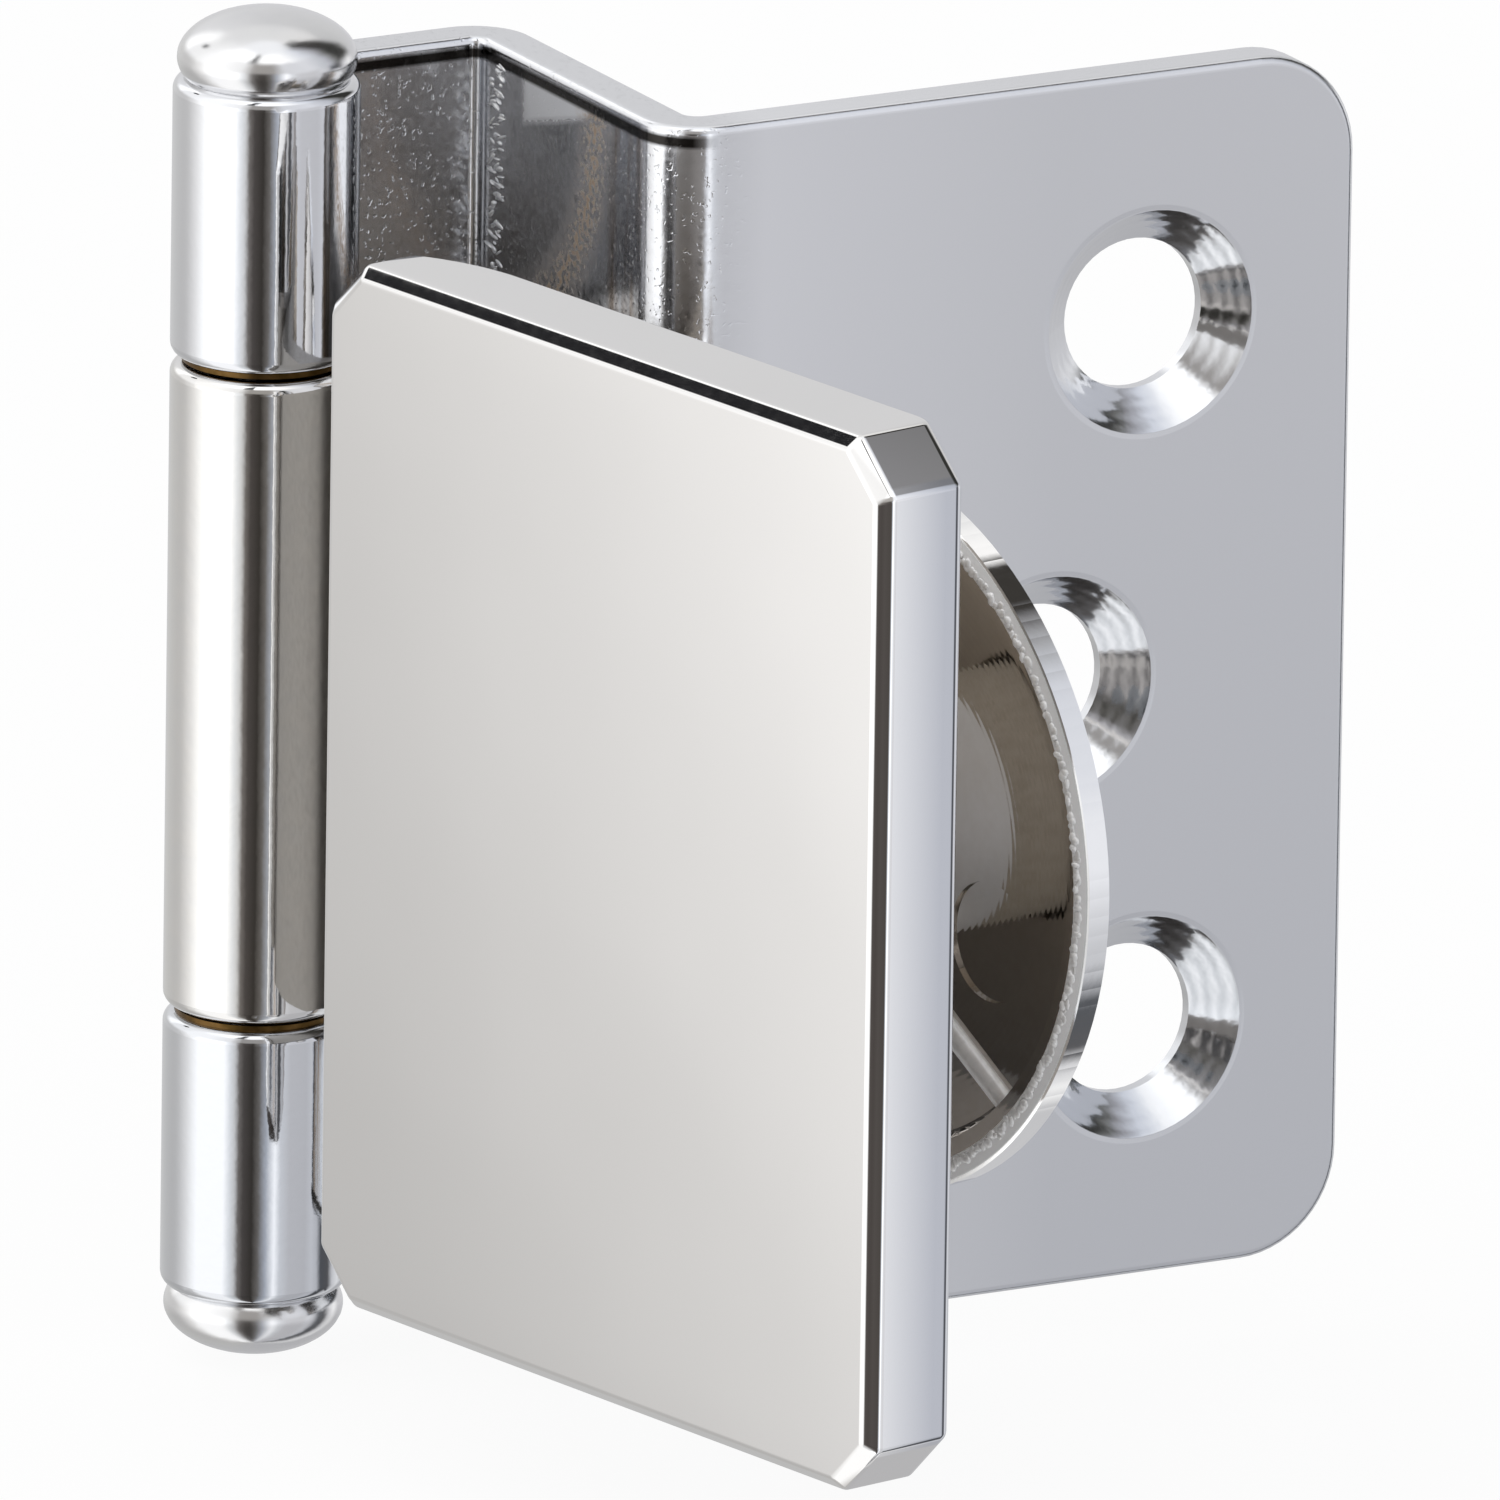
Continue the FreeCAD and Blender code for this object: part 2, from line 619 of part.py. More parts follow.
def make_hinge_pin():
    """The riveted pin: a plain shaft with the same domed head at each end."""
    shaft = doc.addObject("Part::Cylinder", "pin_shaft")
    shaft.setExpression("Radius", "Sizes.pin_diameter / 2")
    shaft.setExpression("Height", "Sizes.leaf_height")
    shaft.setExpression("Placement.Base.z", "-Sizes.leaf_height / 2")
    heads = []
    for name, side in (("upper_head", 1), ("lower_head", -1)):
        head = doc.addObject("Part::Ellipsoid", name)
        head.setExpression("Radius1", "Sizes.head_rise")
        head.setExpression("Radius2", "Sizes.head_diameter / 2")
        head.setExpression("Angle1", "-asin(Sizes.head_drop / Sizes.head_rise)")
        turn = FreeCAD.Rotation(FreeCAD.Vector(1, 0, 0), 90 - 90 * side)
        head.Placement = FreeCAD.Placement(FreeCAD.Vector(), turn)
        height = f"{side} * (Sizes.leaf_height / 2 + Sizes.head_drop)"
        head.setExpression("Placement.Base.z", height)
        heads.append(head)
    pin = doc.addObject("Part::MultiFuse", "hinge_pin")
    pin.Label = "hinge_pin"
    pin.Shapes = [shaft] + heads
    pin.Refine = True
    stand_on_pin(pin)
    bodies.append(pin)
    return pin


def check_and_export():
    """Stop on any failed object, then write one STEP file for each piece."""
    doc.recompute()
    for item in doc.Objects:
        if "Invalid" in item.State or "Error" in item.State:
            raise RuntimeError(f"{item.Label} failed: {item.State}")
    os.makedirs("parts", exist_ok=True)
    for piece in bodies:
        shape = piece.Shape
        if shape.isNull() or not shape.isValid():
            raise RuntimeError(f"{piece.Label} has no valid shape")
        shape.exportStep(os.path.join("parts", f"{piece.Label}.step"))
        print(piece.Label, len(shape.Solids), "solid,", round(shape.Volume, 1), "mm3")


make_cabinet_leaf()
make_door_leaf()
make_cover_plate()
make_clamp_dish()
make_clamp_screw()
make_glass_bush()
make_glass_pad()
make_shim_washer("shim_washer_upper", f"{OUTER_START} - Sizes.shim_thickness")
make_shim_washer("shim_washer_lower", f"-{OUTER_START}")
make_hinge_pin()
check_and_export()
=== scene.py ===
# %% [markdown]
# # A glass door hinge, dressed for its picture
# The hinge clamps a glass door without a frame. A cranked leaf is screwed inside the
# cabinet, a riveted pin carries the door's strap, and a square cover plate and a round
# dish squeeze the glass between them. The solids come from the CAD frame, in metres,
# and this lesson gives them their finishes, their fine detail, the light and the camera.

# %% Load the frame
import math
import bmesh
import bpy
from mathutils import Matrix, Vector


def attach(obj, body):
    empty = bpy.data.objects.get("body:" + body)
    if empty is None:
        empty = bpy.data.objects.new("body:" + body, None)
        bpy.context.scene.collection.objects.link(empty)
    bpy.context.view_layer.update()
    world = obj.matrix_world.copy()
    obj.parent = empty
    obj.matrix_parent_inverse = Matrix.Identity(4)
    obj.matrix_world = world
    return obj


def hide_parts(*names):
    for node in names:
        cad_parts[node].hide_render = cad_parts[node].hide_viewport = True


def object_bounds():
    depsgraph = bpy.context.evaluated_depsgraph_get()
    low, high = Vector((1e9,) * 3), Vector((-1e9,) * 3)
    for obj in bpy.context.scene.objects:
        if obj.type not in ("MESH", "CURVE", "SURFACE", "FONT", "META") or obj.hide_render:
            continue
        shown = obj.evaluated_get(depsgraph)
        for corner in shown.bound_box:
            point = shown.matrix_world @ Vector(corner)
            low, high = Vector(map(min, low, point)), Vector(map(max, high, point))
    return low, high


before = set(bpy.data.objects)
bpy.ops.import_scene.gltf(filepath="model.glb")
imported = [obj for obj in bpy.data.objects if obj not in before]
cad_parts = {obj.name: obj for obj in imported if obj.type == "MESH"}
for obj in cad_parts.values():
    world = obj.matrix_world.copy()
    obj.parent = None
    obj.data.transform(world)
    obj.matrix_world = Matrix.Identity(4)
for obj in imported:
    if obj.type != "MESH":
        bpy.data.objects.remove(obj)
cad_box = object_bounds()
MM = 0.001
PIN = Vector((-32.3, 12.4, 0)) * MM
DOOR_ANGLE = math.radians(10.9)
NOISE_LOW, NOISE_HIGH = 0.3, 0.7  # nearly all of a noise's values lie between these
BURNISHED = 0.055  # roughness of a knuckle after the curling rollers

# %% [markdown]
# ## Helpers for colour and nodes
# Screen colours are written as hex because that is how a picture is read. The renderer
# works in linear light, so one function turns them over. A second small function adds a
# node with its settings and links, so that each material below reads as a list of what it
# is made of. An input may be a plain value, another node's output, or the node itself,
# which stands for its first output in use.

# %% Colour and node helpers


def linear(hex_code):
    """A linear colour from an sRGB hex code."""
    channels = []
    for start in (0, 2, 4):
        value = int(hex_code[start:start + 2], 16) / 255
        curved = ((value + 0.055) / 1.055) ** 2.4
        channels.append(value / 12.92 if value <= 0.04045 else curved)
    return (*channels, 1.0)


def add_node(tree, kind, inputs=None, stops=None, **settings):
    """Adds a node with its settings, its ramp stops and its inputs, linked or filled."""
    node = tree.nodes.new(kind)
    for name, value in settings.items():
        setattr(node, name, value)
    for key, value in (inputs or {}).items():
        if isinstance(value, bpy.types.Node):
            value = next(socket for socket in value.outputs if socket.enabled)
        if isinstance(value, bpy.types.NodeSocket):
            tree.links.new(value, node.inputs[key])
        else:
            node.inputs[key].default_value = value
    if stops:
        elements = node.color_ramp.elements
        elements.remove(elements[-1])
        elements[0].position, elements[0].color = stops[0]
        for position, colour in stops[1:]:
            elements.new(position).color = colour
    return node


def start_finish(name):
    """A new material, its empty tree, and the object's own coordinates for its patterns."""
    material = bpy.data.materials.new(name)
    material.use_nodes = True
    tree = material.node_tree
    tree.nodes.clear()
    return material, tree, add_node(tree, "ShaderNodeTexCoord").outputs["Object"]


def end_finish(tree, inputs):
    """Ends a finish in a surface with the given inputs."""
    surface = add_node(tree, "ShaderNodeBsdfPrincipled", inputs)
    add_node(tree, "ShaderNodeOutputMaterial", {"Surface": surface})
    print("nodes in this finish", len(tree.nodes))


print("hex 808080 in linear light", round(linear("808080")[0], 3))

# %% [markdown]
# ## The camera
# A long lens from far away keeps the leaves' edges almost parallel, as in a catalogue
# picture. The direction was found by matching the hinge's corners, its two turned
# circles and its screw holes to where a photograph shows them.

# %% Camera
TURN = math.radians(28.26)
DOWN = math.radians(16.12)
ROLL = math.radians(0.83)
DISTANCE = 1.8623  # metres from the pin
PIN_RIGHT, PIN_DOWN = 0.019564, 0.002477  # metres that the aim lies beside the pin
FIELD = 31.14  # the lens's length in widths of the sensor
forward = Vector((math.sin(TURN) * math.cos(DOWN), math.cos(TURN) * math.cos(DOWN),
                  -math.sin(DOWN)))
right = Vector((math.cos(TURN), -math.sin(TURN), 0))
up = right.cross(forward)
spot = PIN + right * PIN_RIGHT - up * PIN_DOWN - forward * DISTANCE
rolled_right = right * math.cos(ROLL) + up * math.sin(ROLL)
rolled_up = up * math.cos(ROLL) - right * math.sin(ROLL)

lens = bpy.data.cameras.new("long_lens")
lens.sensor_width = 36
lens.lens = FIELD * lens.sensor_width
lens.clip_start = 0.1
camera = bpy.data.objects.new("camera", lens)
bpy.context.scene.collection.objects.link(camera)
axes = Matrix((rolled_right, rolled_up, -forward)).transposed().to_4x4()
camera.matrix_world = Matrix.Translation(spot) @ axes
bpy.context.scene.camera = camera
print("camera at", [round(value, 4) for value in spot])

# %% [markdown]
# ## Light
# Chrome has almost no colour of its own: it shows the room. A studio tent is therefore
# drawn into the world as rings of bright and dark panels, one ring at the height of the
# hinge, one a little over it and one near the ceiling. The dark gap where the camera
# stands gives the barrel its dark stripe, and the broad bright panels beside it give the
# white ones. Panels in the world were chosen over many lamps because a lamp's edge would
# show in every polished face. Each panel is a compass direction and a colour.

# %% Studio tent
LOW_RING = [
    (-180, "FFFFFF"), (-157, "FFFFFF"), (-149, "D8DADC"), (-143, "C0C0C0"),
    (-138, "6A6663"), (-132, "464240"), (-121, "33302D"), (-113, "605D5A"),
    (-104, "A0A4AC"), (-98, "D0D2D6"), (-93, "F4F5F7"), (-86, "C4C6CA"),
    (-74, "B4B4B7"), (-52, "B1B1B4"), (-42, "BCBDC1"), (-34, "B0B1B5"),
    (-27, "4C4E52"), (-13, "505052"), (-4, "C0C0C2"), (8, "D8D8D8"), (20, "B0B0B2"),
    (62, "B0B0B2"), (88, "B4B4B3"), (118, "B0AFAE"), (126, "B2B1B0"),
    (132, "B8B7B6"), (140, "C8C7C6"), (148, "D8D7D6"), (158, "F0F0EF"),
    (166, "FFFFFF"), (180, "FFFFFF"),
]
MIDDLE_RING = [
    (-180, "E8E8E8"), (-150, "D8D8D8"), (-136, "8A8784"), (-110, "8A8784"),
    (-95, "C0C1C4"), (-60, "C4C5C9"), (-30, "A8AAB0"), (-12, "60605E"),
    (-6, "2C2C2A"), (14, "2C2C2A"), (22, "AEAEAE"), (60, "B4B4B5"),
    (88, "C4C4C5"), (98, "F0F0F0"), (108, "F0F0F0"), (114, "D8D8D8"),
    (136, "DCDCDC"), (150, "E8E8E8"), (180, "E8E8E8"),
]
HIGH_RING = [
    (-180, "F0F0F0"), (-152, "FFFFFF"), (-146, "4C4C4C"), (-137, "4C4C4C"),
    (-131, "FFFFFF"), (-80, "E8E8E8"), (-60, "D0D2D6"), (-40, "BEC1C8"),
    (-18, "8C8C90"), (-5, "2C2A28"), (14, "2C2A28"), (21, "CCCBCA"),
    (60, "C4C4C4"), (100, "C8C8C8"), (136, "DADADA"), (160, "F4F4F4"),
    (180, "F0F0F0"),
]
CEILING = linear("DADBDD")
scene = bpy.context.scene
scene.view_settings.view_transform = "Standard"
scene.world = bpy.data.worlds.new("studio_tent")
scene.world.use_nodes = True
tent = scene.world.node_tree
tent.nodes.clear()
direction = add_node(tent, "ShaderNodeTexCoord").outputs["Generated"]
around = add_node(tent, "ShaderNodeTexGradient", {"Vector": direction},
                  gradient_type="RADIAL").outputs["Fac"]
height = add_node(tent, "ShaderNodeSeparateXYZ", {"Vector": direction}).outputs["Z"]


def ring_colour(panels):
    """The colour of one ring of panels, by the compass direction."""
    stops = [((angle + 180) / 360, linear(code)) for angle, code in panels]
    return add_node(tent, "ShaderNodeValToRGB", {"Fac": around}, stops)


def fade_up(lower, upper, start, end):
    """Fades from a lower to an upper colour between two heights of the sky."""
    fade = add_node(tent, "ShaderNodeMapRange", {
        "Value": height, "From Min": start, "From Max": end},
        interpolation_type="SMOOTHSTEP")
    return add_node(tent, "ShaderNodeMix", {0: fade, 6: lower, 7: upper}, data_type="RGBA")


print("tent rings", len(LOW_RING), len(MIDDLE_RING), len(HIGH_RING))

# %% [markdown]
# A small black flag hangs where the cover plate's upper bevel looks, as a photographer
# hangs one to draw a dark line along an edge. It is a round patch in the sky: the dot
# product of two directions is the cosine of the angle between them. The rings then fade
# into one another with height, and the camera itself sees plain white behind the hinge.

# %% Black flag and the whole sky
FLAG_AROUND = math.radians(121)
FLAG_UP = math.radians(37.4)
FLAG_CORE, FLAG_EDGE = math.radians(3.4), math.radians(4.2)
flag_direction = (math.cos(FLAG_UP) * math.cos(FLAG_AROUND),
                  math.cos(FLAG_UP) * math.sin(FLAG_AROUND), math.sin(FLAG_UP))
off_flag = add_node(tent, "ShaderNodeVectorMath", {0: direction, 1: flag_direction},
                    operation="DOT_PRODUCT")
on_flag = add_node(tent, "ShaderNodeMapRange", {
    "Value": off_flag, "From Min": math.cos(FLAG_EDGE), "From Max": math.cos(FLAG_CORE)})
sky = fade_up(ring_colour(LOW_RING), ring_colour(MIDDLE_RING), 0.02, 0.3)
sky = add_node(tent, "ShaderNodeMix", {0: on_flag, 6: sky, 7: linear("1C1C1E")},
               data_type="RGBA")
sky = fade_up(sky, ring_colour(HIGH_RING), 0.66, 0.8)
sky = fade_up(sky, CEILING, 0.94, 0.985)
level = add_node(tent, "ShaderNodeMapRange", {
    "Value": height, "From Min": -0.42, "From Max": -0.14, "To Min": 1.3, "To Max": 1.68})
tent_light = add_node(tent, "ShaderNodeBackground", {"Color": sky, "Strength": level})
plain_white = add_node(tent, "ShaderNodeBackground", {
    "Color": (1, 1, 1, 1), "Strength": 1.0})
seen = add_node(tent, "ShaderNodeLightPath").outputs["Is Camera Ray"]
shown = add_node(tent, "ShaderNodeMixShader", {0: seen, 1: tent_light, 2: plain_white})
add_node(tent, "ShaderNodeOutputWorld", {"Surface": shown})
print("nodes in the tent", len(tent.nodes))

# %% [markdown]
# ## Floor
# The hinge lies over a white sheet. The sheet is nearly as white as the picture's
# background by itself, and a thin share of plain diffuse keeps a soft shadow on it. It is
# hidden from reflections, so the polished faces show the tent and not the sheet.

# %% White sheet
SHEET_HALF = 0.9  # metres
SHEET_GAP = 0.2 * MM
SELF_WHITE = 0.93  # the share of the sheet that is white by itself
sheet_level = cad_box[0][2] - SHEET_GAP
sheet_mesh = bpy.data.meshes.new("white_sheet")
corners = [(-1, -1), (1, -1), (1, 1), (-1, 1)]
sheet_mesh.from_pydata([(x * SHEET_HALF, y * SHEET_HALF, sheet_level) for x, y in corners],
                       [], [(0, 1, 2, 3)])
white_floor = bpy.data.objects.new("white_sheet", sheet_mesh)
scene.collection.objects.link(white_floor)
paper, tree, _ = start_finish("white_paper")
plain = add_node(tree, "ShaderNodeBsdfPrincipled", {
    "Base Color": linear("F4F4F4"), "Roughness": 0.9})
glow = add_node(tree, "ShaderNodeEmission", {"Color": (1, 1, 1, 1), "Strength": 1.0})
seen = add_node(tree, "ShaderNodeLightPath").outputs["Is Camera Ray"]
share = add_node(tree, "ShaderNodeMath", {0: seen, 1: SELF_WHITE}, operation="MULTIPLY")
mixed = add_node(tree, "ShaderNodeMixShader", {0: share, 1: plain, 2: glow})
add_node(tree, "ShaderNodeOutputMaterial", {"Surface": mixed})
sheet_mesh.materials.append(paper)
white_floor.visible_glossy = False
print("sheet at", round(sheet_level / MM, 2), "mm")

# %% [markdown]
# ## Places and relief
# The finishes differ by place: a mirror on the knuckles, satin on the screwed leaf, turned
# rings in the countersinks. One helper gives the distance from a line, such as the pin or
# the middle of a screw hole, read from Object coordinates. A second one makes a mask that
# fades out past limits. A third one piles patterns up into a relief, each with a mask that
# says where it shows and its rise in millimetres. Masks were chosen over painted maps
# because they stay sharp at any size.

# %% Measuring and relief helpers
DOOR_BACK = Vector((math.cos(DOOR_ANGLE), math.sin(DOOR_ANGLE), 0))
DOOR_ALONG = Vector((-math.sin(DOOR_ANGLE), math.cos(DOOR_ANGLE), 0))
HOLES = [Vector((0, 0, 14.65)) * MM, Vector((0, 0, -14.65)) * MM, Vector((-4.3, 0, 0)) * MM]
CLAMP_AXIS = PIN - DOOR_ALONG * 29.75 * MM
RIM_DEPTH = 6.25 * MM


def distance_from_line(tree, place, point, axis):
    """How far the place lies from the line through a point along an axis."""
    offset = add_node(tree, "ShaderNodeVectorMath", {0: place, 1: point},
                      operation="SUBTRACT")
    foot = add_node(tree, "ShaderNodeVectorMath", {0: offset, 1: axis}, operation="PROJECT")
    return add_node(tree, "ShaderNodeVectorMath", {0: offset, 1: foot},
                    operation="DISTANCE")


def within(tree, share, limits):
    """Fades a share out past limits: a reach, where it ends and where it is full, in mm."""
    for reach, ends, full in limits:
        inside = add_node(tree, "ShaderNodeMapRange", {
            "Value": reach, "From Min": ends * MM, "From Max": full * MM})
        share = add_node(tree, "ShaderNodeMath", {0: share, 1: inside}, operation="MULTIPLY")
    return share


def pile_up(tree, layers, share=1.0):
    """A relief of several layers, each with its mask, its pattern and its rise in mm."""
    total = 0.0
    for mask, pattern, rise in layers:
        shown = add_node(tree, "ShaderNodeMath", {0: mask, 1: pattern},
                         operation="MULTIPLY")
        total = add_node(tree, "ShaderNodeMath", {0: shown, 1: rise * MM, 2: total},
                         operation="MULTIPLY_ADD")
    return add_node(tree, "ShaderNodeBump", {
        "Height": total, "Distance": 1.0, "Strength": share})


print("clamp axis at", [round(value / MM, 2) for value in CLAMP_AXIS], "mm")

# %% [markdown]
# ## Chromed steel sheet of the screwed leaf
# The leaf is rolled steel, blanked, bent and then plated. Its flat is rolled satin, the
# curled knuckles are burnished bright by the rollers, the bent web keeps pits and faint
# brown plating streaks, and the countersinks keep the rings of the cutter. First come the
# masks that tell these places apart, then the patterns, then what they do to the surface.

# %% Places on the leaf
leaf_chrome, tree, place = start_finish("rolled_sheet_chrome")
position = add_node(tree, "ShaderNodeSeparateXYZ", {"Vector": place}).outputs
from_pin = distance_from_line(tree, place, PIN, (0, 0, 1))
past_bend = (position["X"], -19.4, -17.5)
on_knuckle = within(tree, 1.0, [(from_pin, 3.9, 3.78)])
on_flat = within(tree, 1.0, [past_bend])
smooth = add_node(tree, "ShaderNodeMath", {0: on_flat, 1: on_knuckle}, operation="MAXIMUM")
bent = add_node(tree, "ShaderNodeMath", {0: 1.0, 1: smooth}, operation="SUBTRACT")
to_holes = 1.0
for hole in HOLES:
    reach = distance_from_line(tree, place, hole, (0, 1, 0))
    to_holes = add_node(tree, "ShaderNodeMath", {0: to_holes, 1: reach},
                        operation="MINIMUM")
in_hole = within(tree, 1.0, [(to_holes, 4.72, 4.55)])
worn_lip = within(tree, 1.0, [(to_holes, 4.62, 4.82)])
print("screw holes", len(HOLES))

# %% Patterns of the leaf
RING_PITCH = 0.42 * MM
grain = add_node(tree, "ShaderNodeTexNoise", {
    "Vector": place, "Scale": 1 / (0.25 * MM), "Detail": 4.0})
speck = add_node(tree, "ShaderNodeTexNoise", {
    "Vector": place, "Scale": 1 / (0.22 * MM), "Detail": 1.0})
pit = add_node(tree, "ShaderNodeMapRange", {
    "Value": speck, "From Min": 0.64, "From Max": 0.72})
orange_peel = add_node(tree, "ShaderNodeTexNoise", {
    "Vector": place, "Scale": 1 / (0.8 * MM), "Detail": 2.0})
stretched = add_node(tree, "ShaderNodeMapping", {"Vector": place, "Scale": (1, 1.6, 0.12)})
streak = add_node(tree, "ShaderNodeTexNoise", {
    "Vector": stretched, "Scale": 1 / (1.0 * MM), "Detail": 3.0})
drift = add_node(tree, "ShaderNodeTexNoise", {
    "Vector": place, "Scale": 1 / (2.0 * MM), "Detail": 3.0})
wandering = add_node(tree, "ShaderNodeMath", {0: drift, 1: 0.6 * MM, 2: to_holes},
                     operation="MULTIPLY_ADD")
phase = add_node(tree, "ShaderNodeMath", {0: wandering, 1: 2 * math.pi / RING_PITCH},
                 operation="MULTIPLY")
turned = add_node(tree, "ShaderNodeMath", {0: phase}, operation="SINE")
print("cutter's rings every", RING_PITCH / MM, "mm")

# %% [markdown]
# Brown streaks keep to the web's front face beside the second bend. The last rinse has
# dried there in a tide line, a mottled arc that is no longer a mirror. A wedge under the
# upper edge is a painted reflection, made pale by dulling the chrome there. A thin dark
# line along the bent sheet's edges is painted shade. The flat is painted a touch paler
# near its bend, a painted sheen, and the leaf is painted lighter towards its top, as
# painted light from above.

# %% Leaf chrome
TIDE_CENTRE = Vector((-22, 13.5, 23.2)) * MM
WEDGE_SLOPE = Vector((0, 0.258, 0.966))
# Painted light from above: the leaf's tone is lighter towards its top.
painted_light_by_height = within(tree, 1.0, [(position["Z"], -25, 25)])
cool = add_node(tree, "ShaderNodeMix", {
    0: painted_light_by_height, 6: linear("D3D5D9"), 7: linear("DEDFE2")}, data_type="RGBA")
# Painted sheen: the flat is coloured paler near its bend.
painted_sheen_near_bend = within(tree, 0.7, [(position["X"], -4, -17), past_bend])
cool = add_node(tree, "ShaderNodeMix", {0: painted_sheen_near_bend, 6: cool, 7: linear("EBECEF")},
                data_type="RGBA")
web_front = [(position["X"], -23, -22), (position["X"], -21, -21.5),
             (position["Z"], 24.7, 24.2), (position["Z"], -24.7, -24.2)]
streaked = add_node(tree, "ShaderNodeMapRange", {
    "Value": streak, "From Min": 0.38, "From Max": 0.6, "To Max": 0.65})
beside_bend = within(tree, streaked, web_front + [
    (position["Y"], 3.6, 2.6), (position["Y"], 0.3, 0.8)])
from_tide = distance_from_line(tree, place, TIDE_CENTRE, (1, 0, 0))
mottled = add_node(tree, "ShaderNodeMapRange", {
    "Value": grain, "From Min": 0.34, "From Max": 0.62, "To Max": 0.85})
tide = within(tree, mottled, web_front + [(from_tide, 7.4, 9.0), (from_tide, 10.8, 9.2)])
warm = add_node(tree, "ShaderNodeMath", {0: beside_bend, 1: tide}, operation="MAXIMUM")
tone = add_node(tree, "ShaderNodeMix", {0: warm, 6: cool, 7: linear("A88A66")},
                data_type="RGBA")
# Painted reflection: a wedge under the upper edge is made dull and pale, and the tide line
# is dulled with it.
up_wedge = add_node(tree, "ShaderNodeVectorMath", {0: place, 1: WEDGE_SLOPE},
                    operation="DOT_PRODUCT")
painted_reflection_wedge = within(tree, 0.8, web_front + [
    (position["Y"], 10.7, 10.2), (position["Y"], 4.0, 5.0), (up_wedge, 24.1, 24.5)])
dulled_tide_and_painted_wedge = add_node(tree, "ShaderNodeMath", {0: tide, 1: painted_reflection_wedge}, operation="MAXIMUM")
from_midheight = add_node(tree, "ShaderNodeMath", {0: position["Z"]}, operation="ABSOLUTE")
# Painted shade: a thin dark line along the bent sheet's upper and lower edges.
painted_dark_edge_line = within(tree, bent, [
    (position["X"], -19.6, -20.6), (from_midheight, 24.05, 24.2),
    (from_midheight, 24.65, 24.5)])
tone = add_node(tree, "ShaderNodeMix", {0: painted_dark_edge_line, 6: tone, 7: linear("343230")},
                data_type="RGBA")

satin = add_node(tree, "ShaderNodeMapRange", {
    "Value": grain, "From Min": NOISE_LOW, "From Max": NOISE_HIGH,
    "To Min": 0.17, "To Max": 0.25})
pressed = add_node(tree, "ShaderNodeMapRange", {
    "Value": grain, "From Min": NOISE_LOW, "From Max": NOISE_HIGH,
    "To Min": 0.12, "To Max": 0.21})
rough = add_node(tree, "ShaderNodeMix", {0: on_flat, 2: pressed, 3: satin})
rough = add_node(tree, "ShaderNodeMix", {0: on_knuckle, 2: rough, 3: BURNISHED})
rough = add_node(tree, "ShaderNodeMix", {0: in_hole, 2: rough, 3: 0.1})
rough = add_node(tree, "ShaderNodeMix", {0: dulled_tide_and_painted_wedge, 2: rough, 3: 0.4})
metal = add_node(tree, "ShaderNodeMix", {0: dulled_tide_and_painted_wedge, 2: 1.0, 3: 0.3})
relief = pile_up(tree, [
    (1.0, grain, 0.0011), (bent, orange_peel, 0.012), (bent, pit, -0.009),
    (on_knuckle, orange_peel, 0.005), (in_hole, turned, 0.0016),
    (in_hole, orange_peel, 0.01), (1.0, worn_lip, 0.025)])
end_finish(tree, {"Base Color": tone, "Metallic": metal, "Roughness": rough,
                  "Normal": relief})

# %% [markdown]
# ## Chromed strap of the door
# The strap is cut and curled like the leaf, but only its knuckle is burnished: a roller
# presses the sheet round a mandrel, and polishes it as it goes. The flat part is hidden
# behind the cover plate and keeps a dull first plating, and its darker colour is painted
# shade. A mask by distance from the pin parts the two, because the roller's mark ends
# where the curl ends.

# %% Strap chrome
strap_chrome, tree, place = start_finish("curled_strap_chrome")
from_pin = distance_from_line(tree, place, PIN, (0, 0, 1))
dull_and_painted_shade = within(tree, 1.0, [(from_pin, 3.8, 4.1)])
grain = add_node(tree, "ShaderNodeTexNoise", {
    "Vector": place, "Scale": 1 / (0.3 * MM), "Detail": 4.0})
orange_peel = add_node(tree, "ShaderNodeTexNoise", {
    "Vector": place, "Scale": 1 / (0.8 * MM), "Detail": 2.0})
plated = add_node(tree, "ShaderNodeMapRange", {
    "Value": grain, "From Min": NOISE_LOW, "From Max": NOISE_HIGH,
    "To Min": 0.3, "To Max": 0.45})
rough = add_node(tree, "ShaderNodeMix", {0: dull_and_painted_shade, 2: BURNISHED, 3: plated})
bright = add_node(tree, "ShaderNodeMix", {
    0: orange_peel, 6: linear("DCDCDC"), 7: linear("E2E0DD")}, data_type="RGBA")
# Painted shade: the hidden flat part is coloured darker than the knuckle.
tone = add_node(tree, "ShaderNodeMix", {0: dull_and_painted_shade, 6: bright, 7: linear("8E8B87")},
                data_type="RGBA")
relief = pile_up(tree, [(1.0, orange_peel, 0.005)])
end_finish(tree, {"Base Color": tone, "Metallic": 1.0, "Roughness": rough,
                  "Normal": relief})

# %% [markdown]
# ## Polished cover plate
# The plate is cast and polished before plating. The wheel leaves its face very slightly
# crowned, which is what makes the tent's soft gradient run across it. The side is painted
# lighter towards the front, a painted highlight. The back is not polished, so it is rougher
# and warmer. A mapping node turns Object coordinates into the door's own axes: X back,
# Y along, Z up.

